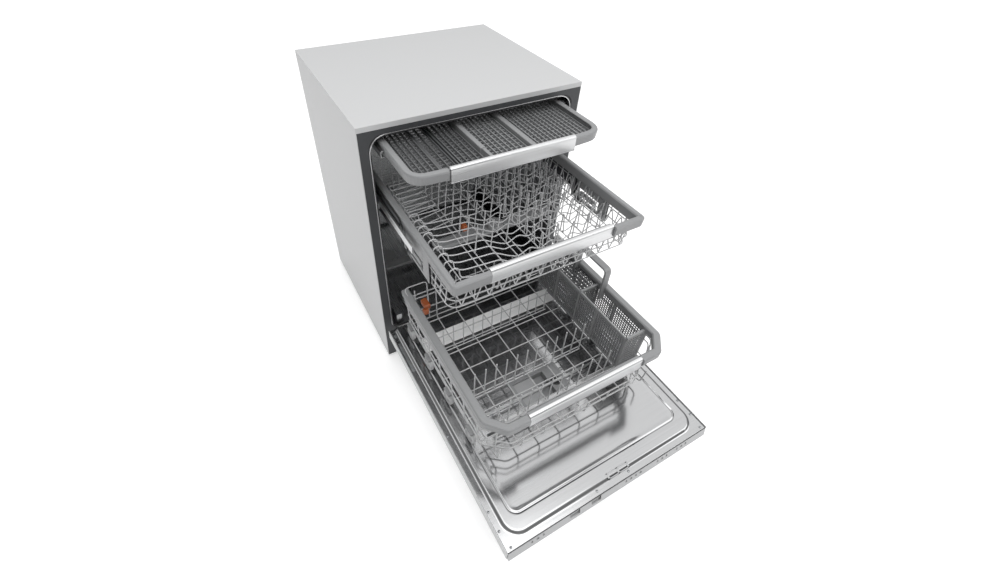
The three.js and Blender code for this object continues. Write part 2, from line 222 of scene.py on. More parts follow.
def rounded(points, radius, steps=4):
    """A polyline with its inner corners rounded."""
    points = [Vector(p) for p in points]
    out = [points[0]]
    for before, corner, after in zip(points, points[1:], points[2:]):
        a, b = before - corner, after - corner
        cut = min(radius, a.length * 0.45, b.length * 0.45)
        start, end = corner + unit(a) * cut, corner + unit(b) * cut
        for i in range(steps + 1):
            t = i / steps
            out.append(start * (1 - t) ** 2 + corner * (2 * t * (1 - t)) + end * t**2)
    out.append(points[-1])
    return out


def wires(name, runs, radius):
    """One curve piece of round wires. Each run is a list of design points."""
    data = bpy.data.curves.new(name, "CURVE")
    data.dimensions = "3D"
    data.bevel_depth = radius * MM
    data.bevel_resolution = 1
    data.use_fill_caps = True
    for run in runs:
        spline = data.splines.new("POLY")
        spline.points.add(len(run) - 1)
        for point, place in zip(spline.points, run):
            point.co = (*at(*place), 1)
        spline.use_smooth = True
    piece = bpy.data.objects.new(name, data)
    bpy.context.collection.objects.link(piece)
    return piece


def sweep(name, path, section):
    """A section of (outward, up) offsets swept along a level path, mitred at its corners."""
    path = [Vector(p) for p in path]
    points, n, last = [], len(section), len(path) - 1
    for i, place in enumerate(path):
        d0 = unit(place - path[i - 1]) if i else unit(path[1] - place)
        d1 = unit(path[i + 1] - place) if i < last else d0
        n0, n1 = Vector((d0.y, -d0.x, 0)), Vector((d1.y, -d1.x, 0))
        miter = unit(n0 + n1)
        reach = 1 / max(0.4, miter.dot(n0))
        points += [tuple(place + miter * (u * reach) + Vector((0, 0, v))) for u, v in section]
    ends = [tuple(reversed(range(n))), tuple(range(last * n, (last + 1) * n))]
    piece = mesh_piece(name, points, tube_faces(len(path), n) + ends)
    fix_normals(piece)
    return piece


def spread(a, b, count):
    """Evenly spaced values from a to b."""
    return [a + (b - a) * i / (count - 1) for i in range(count)]


def outwards(sign, a, b):
    """The range of x from a to b on the right side, or its mirror image on the left."""
    return sorted((sign * a, sign * b))


# ---- camera, light and floor ----
EYE = (-536.1, -912.5, 1253.1)
YAW, PITCH, ROLL = 31.2, -42.4, 2.8


def camera():
    """The eye stands high at the front left, close to the machine, turned down to it."""
    data = bpy.data.cameras.new("camera")
    data.sensor_width = 36
    data.lens = 17.15
    data.shift_x = 0.0213
    data.shift_y = -0.0341
    eye = bpy.data.objects.new("camera", data)
    bpy.context.collection.objects.link(eye)
    yaw, pitch, roll = (math.radians(angle) for angle in (YAW, PITCH, ROLL))
    ahead = math.cos(pitch)
    forward = Vector((math.sin(yaw) * ahead, math.cos(yaw) * ahead, math.sin(pitch)))
    level = unit(forward.cross(Vector((0, 0, 1))))
    upright = level.cross(forward)
    right = level * math.cos(roll) + upright * math.sin(roll)
    up = upright * math.cos(roll) - level * math.sin(roll)
    turn = Matrix((right, up, -forward)).transposed()
    eye.matrix_world = Matrix.Translation(at(*EYE)) @ turn.to_4x4()
    bpy.context.scene.camera = eye


def lamp(name, place, target, size, power):
    data = bpy.data.lights.new(name, "AREA")
    data.shape = "RECTANGLE"
    data.size, data.size_y = size
    data.energy = power
    lamp_object = bpy.data.objects.new(name, data)
    bpy.context.collection.objects.link(lamp_object)
    lamp_object.location = at(*place)
    aim = at(*target) - lamp_object.location
    lamp_object.rotation_mode = "QUATERNION"
    lamp_object.rotation_quaternion = aim.to_track_quat("-Z", "Y")


# the studio's brightness from the horizon to overhead, and how it is dimmed at the front and left:
# direction, where the change starts and ends, and the brightness at both ends
STUDIO_SIDES = (
    ("Z", 0.15, 0.85, 0.55, 1.42),
    ("Y", -0.75, -0.25, 0.45, 1),
    ("X", -0.85, -0.2, 0.4, 1),
)
FLOOR_GLOW, BACKDROP_GLOW = 0.45, 0.9


def studio_light():
    """A white world, brightest overhead, with a large lamp above and a small one at the right."""
    world = bpy.data.worlds.new("studio")
    bpy.context.scene.world = world
    world.use_nodes = True
    tree = world.node_tree
    sky = tree.nodes["Background"]
    place = tree.nodes.new("ShaderNodeTexCoord")
    split = tree.nodes.new("ShaderNodeSeparateXYZ")
    tree.links.new(place.outputs["Generated"], split.inputs["Vector"])
    strength = None
    for axis, *limits in STUDIO_SIDES:
        ramp = tree.nodes.new("ShaderNodeMapRange")
        ramp.interpolation_type = "SMOOTHSTEP"
        for key, value in zip(("From Min", "From Max", "To Min", "To Max"), limits):
            ramp.inputs[key].default_value = value
        tree.links.new(split.outputs[axis], ramp.inputs["Value"])
        if strength is None:
            strength = ramp.outputs["Result"]
            continue
        product = tree.nodes.new("ShaderNodeMath")
        product.operation = "MULTIPLY"
        tree.links.new(strength, product.inputs[0])
        tree.links.new(ramp.outputs["Result"], product.inputs[1])
        strength = product.outputs["Value"]
    tree.links.new(strength, sky.inputs["Strength"])
    sky.inputs["Color"].default_value = (1, 1, 1, 1)
    bpy.context.scene.view_settings.view_transform = "Standard"
    lamp("key", (-200, -900, 2600), (0, -100, 500), (2.2, 2.2), 26)
    lamp("side", (1700, -1500, 1500), (0, 0, 300), (1.2, 1.8), 10)


def glowing(name, tone, rough, glow):
    """Name the object just added, and paint it in a grey that glows."""
    piece = bpy.context.object
    piece.name = name
    paint, shader = principled(f"{name}_paint", (tone, tone, tone), rough)
    shader.inputs["Emission Color"].default_value = (1, 1, 1, 1)
    shader.inputs["Emission Strength"].default_value = glow
    piece.data.materials.append(paint)
    return piece


def studio_stage():
    bpy.ops.mesh.primitive_plane_add(size=60, location=(0, 0, 0))
    floor = glowing("floor", 0.7, 0.9, FLOOR_GLOW)
    # a pale wall far off, which shows behind the machine and neither lights it nor reflects in it
    bpy.ops.mesh.primitive_cylinder_add(radius=29, depth=40, vertices=96, end_fill_type="NOTHING")
    wall = glowing("backdrop", 0.8, 1, BACKDROP_GLOW)
    wall.visible_diffuse = wall.visible_glossy = False
    wall.visible_transmission = wall.visible_shadow = False


# ---- CAD pieces that keep their shape ----
# finish: the nodes that have it, and how far their edges are rounded
KEPT = {
    "white": (["top_panel", "left_side_panel", "right_side_panel", "door_outer_panel"], 0.5),
    "charcoal": (["front_frame", "base_pan", "toe_kick"], 0.8),
    "zinc": (["back_panel", "left_hinge_arm", "right_hinge_arm"], 0.4),
    "rubber": (["door_gasket"], 0.8),
    "black": (["left_foot_runner", "right_foot_runner", "circulation_pump", "rinse_aid_cap",
               "filter_cylinder"], 0.8),
    "green": (["drain_pump"], 1),
    "pale": (["water_softener", "dispenser_lid"], 0.8),
    "rim": (["dispenser_body", "button_1", "button_2", "lower_spray_arm", "upper_spray_arm"], 1),
    "mesh": (["sump_filter_plate"], 0.4),
    "tub": (["tub_floor"], 0.4),
    "handle": (["rack_guide_rod", "rack_support_bar"], 0.6),
}


def dress_frame():
    """New finishes and rounded edges for the kept CAD pieces."""
    for finish, (nodes, edge) in KEPT.items():
        for node in nodes:
            piece = bpy.data.objects[node]
            piece.data.materials.clear()
            piece.data.materials.append(FINISH[finish])
            bevel(piece, edge)


def heel_fittings():
    """The front flange's legs beside the toe kick, and ribbed hinge covers at the door's heel."""
    low, high = span("front_frame")
    leg_z = (1, low[2] + 0.2)
    legs = [(outwards(sign, 270, high[0]), (low[1], high[1]), leg_z) for _, sign in SIDES]
    dress(boxes("frame_legs", legs), "charcoal", "cabinet")
    heel, top = span("door_outer_panel")[1][1], span("door_inner_liner")[1][2]
    covers = []
    for _, sign in SIDES:
        for i, y in enumerate(spread(heel - 6, heel - 62, 6)):
            rib_z = (top - 12, top - 0.4 - 2 * (i % 3))
            covers.append((outwards(sign, 284, 293 - i % 2), (y - 4, y + 4), rib_z))
        covers.append((outwards(sign, 285, 294), (heel - 70, heel), (top - 14, top - 7)))
    dress(boxes("hinge_covers", covers, 0.8), "black", "door")


def back_fittings():
    """Pressed ribs and fixing screws on the galvanised back."""
    low, high = span("back_panel")
    sunk, back = high[1] - 0.5, high[1]
    upright = (low[2] + 70, high[2] - 70)
    level = (low[0] + 40, high[0] - 40)
    ribs = [((x - 13, x + 13), (sunk, back + 1.4), upright) for x in (-170, 0, 170)]
    ribs += [(level, (sunk, back + 1), (z - 9, z + 9)) for z in (low[2] + 40, high[2] - 40)]
    dress(boxes("back_ribs", ribs, 1.2), "zinc", "cabinet")
    heads = []
    for x in (low[0] + 14, 0, high[0] - 14):
        for z in spread(low[2] + 16, high[2] - 16, 4):
            heads.append(((x - 3, x + 3), (sunk, back + 2), (z - 3, z + 3)))
    dress(boxes("back_screws", heads, 1.5), "black", "cabinet")


# ---- tub ----
TUB_CORNER = 38  # radius where the tub's walls turn into its ceiling
TUB_BACK_ROUND = 30  # radius where they turn into its back
TUB_STEPS = 8  # facets of these rounds
PRESSED_RAILS = (250, 470, 665)  # heights of the rails pressed outwards in the side walls
RAIL_HEIGHTS = (556, 714)  # middles of the rails that carry the upper and third rack


def tub_outline(half, floor, roof):
    """The tub seen from the front, from the floor up the left wall and down the right one."""
    left = [(-half, floor)]
    left += [(-half, z) for z in spread(floor + 20, roof - TUB_CORNER, 60)]
    for i in range(1, TUB_STEPS):
        a = math.pi - math.pi / 2 * i / TUB_STEPS
        x, z = -half + TUB_CORNER, roof - TUB_CORNER
        left.append((x + TUB_CORNER * math.cos(a), z + TUB_CORNER * math.sin(a)))
    ceiling = [(x, roof) for x in spread(-half + TUB_CORNER, half - TUB_CORNER, 12)]
    return left + ceiling + [(-x, z) for x, z in reversed(left)]


def tub_shell():
    """The stainless tub: side walls, ceiling and back in one drawn sheet, with pressed rails."""
    low, high = span("tub_left_wall", "tub_right_wall", "tub_back_wall")
    half, floor, roof = high[0] - 1.5, low[2], high[2]
    front, back = low[1], high[1] - 1.5
    outline = tub_outline(half, floor, roof)
    n = len(outline)

    def pressed(x, y, z):
        """How far a side wall is pressed outwards, fading out towards its front and back."""
        along = min(1, max(0, (y - front - 30) / 20)) * min(1, max(0, (back - 60 - y) / 20))
        push = sum(math.exp(-(((z - rail) / 9) ** 2)) for rail in PRESSED_RAILS)
        return 4 * push * along if abs(x) > half - 1 else 0

    points = []
    for y in spread(front, back - TUB_BACK_ROUND, 36):
        points += [(x - math.copysign(pressed(x, y, z), x), y, z) for x, z in outline]
    for i in range(1, TUB_STEPS + 1):
        a = math.pi / 2 * i / TUB_STEPS
        inset = TUB_BACK_ROUND * (1 - math.cos(a))
        y = back - TUB_BACK_ROUND + TUB_BACK_ROUND * math.sin(a)
        points += [(x * (1 - inset / half), y, min(z, roof - inset)) for x, z in outline]
    rings = len(points) // n
    faces = []
    for r in range(rings - 1):
        faces += [(a, a + 1, a + 1 + n, a + n) for a in range(r * n, r * n + n - 1)]
    faces.append(tuple(range((rings - 1) * n, rings * n)))
    shell = mesh_piece("tub_shell", points, faces, smooth=True)
    solid(shell, SHEET, 0)
    nodes = ["tub_left_wall", "tub_right_wall", "tub_back_wall", "tub_ceiling"]
    dress(shell, "tub", "cabinet", nodes)


LIP_INSET, LIP_Y, LIP_RADIUS, LIP_CORNER = 0.9, 1.9, 1.7, 50


def tub_lip():
    """The bright rolled lip around the mouth of the tub, just behind the closed door."""
    low, high = span("door_gasket")
    half, top, bottom = high[0] - LIP_INSET, high[2] - LIP_INSET, low[2] + LIP_INSET
    run = [(-half + 60, bottom), (-half, bottom), (-half, top)]
    run += [(half, top), (half, bottom), (half - 60, bottom)]
    run = rounded([(x, 0, z) for x, z in run], LIP_CORNER, 8)
    lip = wires("tub_lip", [[(p.x, LIP_Y, p.z) for p in run]], LIP_RADIUS)
    dress(lip, "handle", "cabinet")


def tub_fittings():
    """The rail channels and their front rollers on the tub's side walls."""
    blocks, rollers = [], []
    y = (16, 470)
    for _, sign in SIDES:
        for z in RAIL_HEIGHTS:
            x = outwards(sign, 266, 276)
            blocks.append((x, y, (z - 9, z - 6)))
            blocks.append((x, y, (z + 6, z + 9)))
            blocks.append((outwards(sign, 274, 276), y, (z - 9, z + 9)))
            rollers += [(sign * 265, roller_y, z) for roller_y in (24, 52)]
    dress(boxes("tub_rails", blocks, 0.6), "handle", "cabinet")
    discs = [wheel_rings(place, 9, 6) for place in rollers]
    dress(turned("tub_rollers", discs), "pale", "cabinet")


# ---- turned pieces ----
def wheel_rings(place, radius, thick):
    """A wheel on an axle along X: its middle, and its profile of (x offset, radius)."""
    half = thick / 2
    side = [(half + 1, 0), (half + 1, 0.28), (half, 0.3), (half * 0.5, 0.38)]
    side += [(half * 0.5, 0.72), (half, 0.78), (half, 0.95), (half * 0.7, 1)]
    profile = [(-x, radius * share) for x, share in side]
    profile += [(x, radius * share) for x, share in reversed(side)]
    return place, profile


def turned(name, wheels, sides=28):
    """Wheels turned about axles along X, as one piece."""
    points, faces = [], []
    for (cx, cy, cz), profile in wheels:
        base, n = len(points), len(profile)
        for i in range(sides):
            a = 2 * math.pi * i / sides
            points += [(cx + dx, cy + r * math.cos(a), cz + r * math.sin(a)) for dx, r in profile]
        for i in range(sides):
            for j in range(n - 1):
                a, b = base + i * n + j, base + ((i + 1) % sides) * n + j
                faces.append((a, b, b + 1, a + 1))
    piece = mesh_piece(name, points, faces, smooth=True)
    weld = bmesh.new()
    weld.from_mesh(piece.data)
    bmesh.ops.remove_doubles(weld, verts=weld.verts, dist=1e-6)
    weld.to_mesh(piece.data)
    weld.free()
    return piece


# ---- door ----
FLANGE_DROP = 5.5  # how far the liner's flange lies below its bead
EDGE_LEAN = 6  # how far the door's edge strip leans outwards at its lower edge
# a bead and a groove run round the liner: half width, distance from the tip, corner radius
BEAD, GROOVE = (279, 16, 42), (250, 56, 24)
GROOVE_DEPTH, PAN_DEPTH = 2.4, 1.6


def rim_distance(x, y, half, y0, y1, corner):
    """How far inside a rounded rectangle a point lies: negative outside it."""
    cy, hy = (y0 + y1) / 2, (y1 - y0) / 2
    dx, dy = abs(x) - (half - corner), abs(y - cy) - (hy - corner)
    outside = math.hypot(max(dx, 0), max(dy, 0))
    return corner - outside - min(max(dx, dy), 0)


def smooth_step(a, b, t):
    t = min(1, max(0, (t - a) / (b - a)))
    return t * t * (3 - 2 * t)


def grid_lines(a, b, formed):
    """Grid lines from a to b, closer together near the formed borders."""
    out, t = [], a
    while t < b - 0.1:
        out.append(t)
        t += 1.5 if min(abs(t - edge) for edge in formed) < 48 else 9
    return out + [b]


def door_liner():
    """The drawn stainless liner: a flange, a raised bead, a groove and a shallow pan."""
    _, high = span("door_inner_liner")
    tip = span("control_strip")[0][1]
    x_half, y0, y1, top = high[0] - 2, tip + 1.2, high[1], high[2]

    def inside(x, y, outline):
        half, from_tip, corner = outline
        return rim_distance(x, y, half, tip + from_tip, y1 + 60, corner)

    def height(x, y):
        within = inside(x, y, GROOVE)
        bead = FLANGE_DROP * (smooth_step(-1, 8, inside(x, y, BEAD)) - 1)
        groove = -GROOVE_DEPTH * math.exp(-((within / 1.8) ** 2))
        return top + bead + groove - PAN_DEPTH * smooth_step(0, 14, within)

    xs = grid_lines(-x_half, x_half, (-x_half + 26, x_half - 26))
    ys = grid_lines(y0, y1, (y0 + 34,))
    (hole_x0, hole_y0, _), (hole_x1, hole_y1, _) = span("dispenser_body")
    points = [(x, y, height(x, y)) for y in ys for x in xs]
    faces = []
    for j in range(len(ys) - 1):
        for i in range(len(xs) - 1):
            x, y = (xs[i] + xs[i + 1]) / 2, (ys[j] + ys[j + 1]) / 2
            if not (hole_x0 < x < hole_x1 and hole_y0 < y < hole_y1):
                a = j * len(xs) + i
                faces.append((a, a + 1, a + 1 + len(xs), a + len(xs)))
    sheet = mesh_piece("door_liner_sheet", points, faces, smooth=True)
    solid(sheet, SHEET, -1)
    dress(sheet, "liner", "door", ["door_inner_liner"])

    # a matte sill across the heel of the liner; its pale colour is partly painted highlight, made
    # light to stand for the bright reflection there and to lift it out of the racks' shade
    sill = boxes("liner_sill", [((-232, 244), (-152, -100), (top - 3, top - 0.8))], 0.8)
    dress(sill, "sill", "door")


def door_edge():
    """The door's far edge: a folded metal strip under the flange, with two keys set in it."""
    low, high = span("control_strip")
    tip, across = low[1], (low[0], high[0])
    face_top = span("door_inner_liner")[1][2] - FLANGE_DROP - 0.9
    seam = [(across, (tip - 0.4, tip + 2), (face_top - 0.2, face_top + 0.9))]
    dress(boxes("door_edge_seam", seam), "mesh", "door")
    blocks = [(across, (tip, high[1]), (low[2], face_top - 0.2))]
    for node in ("button_1", "button_2"):
        key_low, key_high = span(node)
        x, z = (key_low[0] - 2, key_high[0] + 2), (key_low[2] - 2, key_high[2] + 2)
        blocks = [part for block in blocks for part in around(block, x, z)]
    strip = boxes("door_edge_strip", blocks)
    lean(strip, tip, low[2], face_top)
    dress(strip, "edge", "door", ["control_strip"])


def lean(piece, front, low, high):
    """Lean a piece's front face outwards towards its lower edge."""
    for vertex in piece.data.vertices:
        y, z = (vertex.co.y - FRONT_Y) / MM, (vertex.co.z - BASE_Z) / MM
        if y < front + 1.5:
            vertex.co.y -= EDGE_LEAN * (high - z) / (high - low) * MM


def around(block, x, z):
    """A block cut into the blocks round a window that goes through it along Y."""
    (x0, x1), y, (z0, z1) = block
    if x[0] >= x1 or x[1] <= x0:
        return [block]
    beside = [((x0, x[0]), y, (z0, z1)), ((x[1], x1), y, (z0, z1))]
    return beside + [(x, y, (z0, z[0])), (x, y, (z[1], z1))]


# round head of a screw: radius and height of each ring
SCREW_HEAD = ((3.2, 0), (3, 0.8), (2.2, 1.3), (0, 1.4))


def liner_screws():
    """Slotted screws along the liner's flange."""
    top = span("door_inner_liner")[1][2]
    places = [(-50, -677), (45, -677)]
    for _, sign in SIDES:
        places += [(sign * x, y) for x, y in ((290, -400), (290, -598), (289, -642), (283, -680))]
    points, faces, slots, sides = [], [], [], 16
    z = top - FLANGE_DROP
    for x, y in places:
        faces += tube_faces(len(SCREW_HEAD), sides, len(points))
        for radius, rise in SCREW_HEAD:
            for i in range(sides):
                a = 2 * math.pi * i / sides
                points.append((x + radius * math.cos(a), y + radius * math.sin(a), z + rise))
        slots.append(((x - 2.2, x + 2.2), (y - 0.5, y + 0.5), (z + 1.2, z + 1.6)))
    screws = mesh_piece("liner_screws", points, faces, smooth=True)
    dress(screws, "zinc", "door")
    dress(boxes("liner_screw_slots", slots), "black", "door")


def latch_and_bezel():
    """The latch's plate, a dark block under it that is painted shade for the hollow of the latch
    slot, and the ring around the dispenser.
    """
    top = span("door_inner_liner")[1][2]
    low, high = span("door_latch")
    x0, x1, y0, y1 = low[0], high[0], low[1] - 14, low[1]
    z = (top - 6, top + 0.4)
    bars = [((x0 - 5, x1 + 5), (y0, y0 + 2.5), z), ((x0 - 5, x1 + 5), (y1 - 2.5, y1), z)]
    bars += [((x0 - 5, x0), (y0, y1), z), ((x1, x1 + 5), (y0, y1), z)]
    bars += [((x0 + 24, x0 + 30), (y0, y1), z)]
    dress(boxes("latch_striker", bars, 0.5), "edge", "door", ["door_latch"])
    # a dark block inside the striker's frame: painted shade, standing for the shadowed hollow of
    # the latch slot
    recess = boxes("latch_recess", [((x0, x1), (y0 + 2, y1 - 2), (top - 6, top - 3))])
    dress(recess, "mesh", "door")

    low, high = span("dispenser_body")
    x0, x1, y0, y1 = low[0] - 5, high[0] + 5, low[1] - 5, high[1] + 5
    z = (top - 1.5, top + 0.9)
    bezel = [((x0, x1), (y0, y0 + 7), z), ((x0, x1), (y1 - 7, y1), z)]
    bezel += [((x0, x0 + 7), (y0 + 7, y1 - 7), z), ((x1 - 7, x1), (y0 + 7, y1 - 7), z)]
    dress(boxes("dispenser_bezel", bezel, 0.5), "rim", "door")


# plain bars and dots on the edge strip: where each group starts, and how many it has
MARK_GROUPS = ((-235, 3), (30, 4), (130, 3), (195, 3))


def strip_marks():
    """The bars and dots, on the leaning face of the edge strip."""
    low, high = span("control_strip")
    front, middle = low[1] - 0.4, (low[2] + high[2]) / 2 - 2
    y = (front, front + 1.6)
    marks = []
    for start, count in MARK_GROUPS:
        for i in range(count):
            x = start + 15 * i
            wide = 3.5 if i % 2 else 2.2
            marks.append(((x - wide, x + wide), y, (middle - 0.7, middle + 0.7)))
            marks.append(((x - 0.7, x + 0.7), y, (middle + 2.5, middle + 5)))
    signs = boxes("strip_marks", marks)
    lean(signs, front, low[2], span("door_inner_liner")[1][2] - FLANGE_DROP)
    dress(signs, "black", "door")


# ---- handles, rims and rails ----
HANDLE_ROUND = 7  # outer radius of a handle's rolled top
HANDLE_SHEET = 1.6


def handle_section(z0, z1, deep):
    """The folded sheet of a handle: a tall face, a rolled top and a short return behind."""
    r = HANDLE_ROUND
    outer = [(0, z0 + 2), (1.5, z0), (0.8, z0 + 3), (0, z0 + 6), (0, z1 - r)]
    for i in range(7):
        a = math.pi - math.pi / 2 * i / 6
        outer.append((r + r * math.cos(a), z1 - r + r * math.sin(a)))
    outer += [(deep, z1), (deep, z1 - HANDLE_SHEET)]
    r_in = r - HANDLE_SHEET
    for i in range(7):
        a = math.pi / 2 + math.pi / 2 * i / 6
        outer.append((r + r_in * math.cos(a), z1 - r + r_in * math.sin(a)))
    return outer + [(HANDLE_SHEET, z0 + 2)]


def handle(name):
    """The brushed channel across a rack's front."""
    node = f"{name}_handle"
    low, high = span(node)
    section = handle_section(low[2], high[2], high[1] - low[1])
    n = len(section)
    points = [(x, low[1] + y, z) for x in (-high[0], high[0]) for y, z in section]
    ends = [tuple(reversed(range(n))), tuple(range(n, 2 * n))]
    piece = mesh_piece(f"{node}_channel", points, tube_faces(2, n) + ends)
    fix_normals(piece)
    for polygon in piece.data.polygons:
        polygon.use_smooth = len(polygon.vertices) == 4
    split = piece.modifiers.new("split", "EDGE_SPLIT")
    split.split_angle = math.radians(35)
    dress(piece, "handle", name, [node])


def rims(name, left, section, replaces=()):
    """A pair of plastic rims: the left one along a path, the right one its mirror image."""
    left = [tuple(p) for p in left]
    right = [(-x, y, z) for x, y, z in reversed(left)]
    for side, path in (("left", left), ("right", right)):
        rim = bevel(sweep(f"{name}_{side}_rim", path, section), 1.2)
        dress(rim, "rim", name, replaces if side == "left" else ())


def rail(node, body):
    """A rail bar drawn as a C channel, open towards the rack."""
    low, high = span(node)
    x, y, z = ([low[i], high[i]] for i in range(3))
    web = (x[1] - 1.5, x[1]) if low[0] > 0 else (x[0], x[0] + 1.5)
    blocks = [(web, y, z), (x, y, (z[0], z[0] + 1.8)), (x, y, (z[1] - 1.8, z[1]))]
    piece = boxes(f"{node}_channel", blocks, 0.4)
    dress(piece, "handle", body, [node])


# ---- third rack ----
def third_rack():
    low, high = span("third_rack_frame")
    half, front, back, z0, z1 = high[0], low[1], high[1], low[2], high[2]
    grip = span("third_rack_handle")[1][0]
    left = [(-half + 4, back, z0), (-half + 4, front + 2, z0), (-grip - 1, front - 3, z0)]
    tall = z1 - z0 + 3
    section = [(-4, 5), (-2, 4), (2, 4), (4, 7), (6, tall - 4), (4, tall), (-8, tall)]
    section += [(-10, tall - 2), (-7, tall - 4), (-4, tall - 6)]
    rims("third_rack", rounded(left, 38, 8), section, ["third_rack_frame"])
    bars = [((-grip, grip), (front - 1, front + 6), (z0 + 2, z1))]
    bars.append(((-half + 8, half - 8), (back - 5, back), (z0, z1)))
    dress(boxes("third_rack_beams", bars, 1), "rim", "third_rack")

    # the tray's bays: where each starts and ends across, its slats' pitch, and how high they lie
    y = (front + 10, back - 6)
    left_bays = [(-half + 12, -168, 12, 9), (-160, -124, 12, 2), (-116, -60, 11, 8)]
    right_bays = [(-41, 52, 11.5, 9), (70, half - 12, 11.5, 9)]
    tray("left", "slat", left_bays, y, z0, ["third_rack_tray"])
    tray("right", "basket", right_bays, y, z0)
    y_end = back - 5
    walls = [
        ((-57, -44), (front + 52, y_end), (z0 + 2, z1 - 1)),
        ((-53, -44), (front + 8, front + 60), (z0 + 2, z1 - 3)),
        ((54, 68), (front + 8, y_end), (z0 + 4, z1 - 1)),
    ]
    dress(boxes("third_rack_walls", walls, 2), "rim", "third_rack")
    steps = [((x - 2, x + 2), y, (z0, z0 + 14)) for x in (-165, -121)]
    dress(boxes("third_rack_steps", steps, 0.8), "mesh", "third_rack")
    handle("third_rack")
    for side, _ in SIDES:
        rail(f"third_rack_{side}_rail", "third_rails")


def tray(side, finish, bays, y, z0, replaces=()):
    """Bays of slats that run front to back over thinner bars."""
    slats, bars = [], []
    for x0, x1, pitch, lift in bays:
        z = z0 + lift
        for x in spread(x0 + 1.5, x1 - 1.5, max(2, round((x1 - x0) / pitch))):
            slats.append(((x - 1.5, x + 1.5), y, (z, z + 7)))
        for mid in spread(y[0] + 4, y[1] - 4, 32):
            bars.append(((x0, x1), (mid - 1.6, mid + 1.6), (z, z + 3.5)))
    slatted = boxes(f"third_rack_{side}_slats", slats, 0.4)
    dress(slatted, finish, "third_rack", replaces)
    dress(boxes(f"third_rack_{side}_bars", bars), finish, "third_rack")


# ---- wire baskets ----
GRIDS = ("floor", "left_side", "right_side", "back", "front")


def loop_path(half, front, back, z, chamfer, corner=10):
    """A closed level run of wire with cut front corners."""
    side, nose = chamfer
    points = [(-half, back, z), (-half, front + side, z), (-half + nose, front, z)]
    points += [(half - nose, front, z), (half, front + side, z), (half, back, z)]
    return rounded(points + [(-half, back, z)], corner)


UPPER_WIRE = 1.5  # radius of the upper rack's wires
UPPER_GRIDS = [f"upper_rack_{name}_grid" for name in GRIDS]


def upper_box():
    """Half width, front, back, floor and top of the upper rack's wires; the cup shelf's front."""
    low, high = span(*(f"upper_rack_{name}_grid" for name in ("left_side", "right_side", "front")))
    back = span("upper_rack_back_grid")[1][1]
    shelf_front = span("upper_rack_cup_shelf")[0][1] + 170
    return high[0] - 1, low[1], back, low[2], high[2], shelf_front


def zigzag(count, start, end, near, far, place):
    """A wire that goes to and fro between two heights while it runs from start to end."""
    places = [place(t, near if i % 2 else far) for i, t in enumerate(spread(start, end, count))]
    return rounded(places, 7, 3)


def upper_cage():
    """The upper rack's floor and sides as one piece of wires."""
    half, front, back, floor, top, shelf_front = upper_box()
    runs = []
    for z, ahead in ((top - 40, 4), (top - 66, 6), (floor - 2, 10)):
        runs.append(loop_path(half - ahead * 0.5, front + ahead, back - 3, z, (14, 14)))
    # cross wires: a hump hooked over the left rim, then a run that waves towards the right wall;
    # behind, where the cup shelf folds up, they stay low under it
    for i, y in enumerate(spread(front + 30, back - 16, 18)):
        if y < shelf_front - 6:
            hump = [(-half + 3, floor + 6), (-half + 10, top - 24), (-half + 14, top + 2)]
            hump += [(-half + 33, top + 2), (-half + 38, top - 28), (-half + 62, top - 38)]
            hump += [(-98, floor + 44), (-52, floor + 16)]
        else:
            hump = [(-half + 4, top - 32), (-half + 8, floor + 12), (-half + 62, floor + 8)]
            hump += [(-98, floor + 22), (-52, floor + 16)]
        waves = enumerate(spread(-30, half - 34, 9))
        wave = [(x, floor + 6 + (16 if (k + i) % 2 else 0)) for k, x in waves]
        end = [(half - 14, floor + 24), (half - 6, top - 20)]
        runs.append(rounded([(x, y, z) for x, z in hump + wave + end], 9, 3))
    for x in spread(-half + 62, half - 30, 8):
        z = floor + 4
        line = [(front + 8, top - 40), (front + 12, z), (back - 10, z), (back - 3, top - 24)]
        runs.append(rounded([(x, *place) for place in line], 10))
    # the right wall and the front are zigzag wires
    across, y_front = half - 5, front + 9
    runs.append(zigzag(27, front + 12, back - 20, floor + 4, top - 38, lambda y, z: (across, y, z)))
    runs.append(zigzag(29, -half + 14, half - 14, floor, top - 40, lambda x, z: (x, y_front, z)))
    for y in spread(front + 30, back - 20, 7):
        runs.append([(half - 2, y, top - 12), (half - 7, y, floor)])
    for x in spread(-half + 34, half - 34, 10):
        runs.append([(x, back - 3, top - 14), (x, back - 4, floor + 4)])
    cage = wires("upper_rack_wires", runs, UPPER_WIRE)
    dress(cage, "wire", "upper_rack", UPPER_GRIDS)


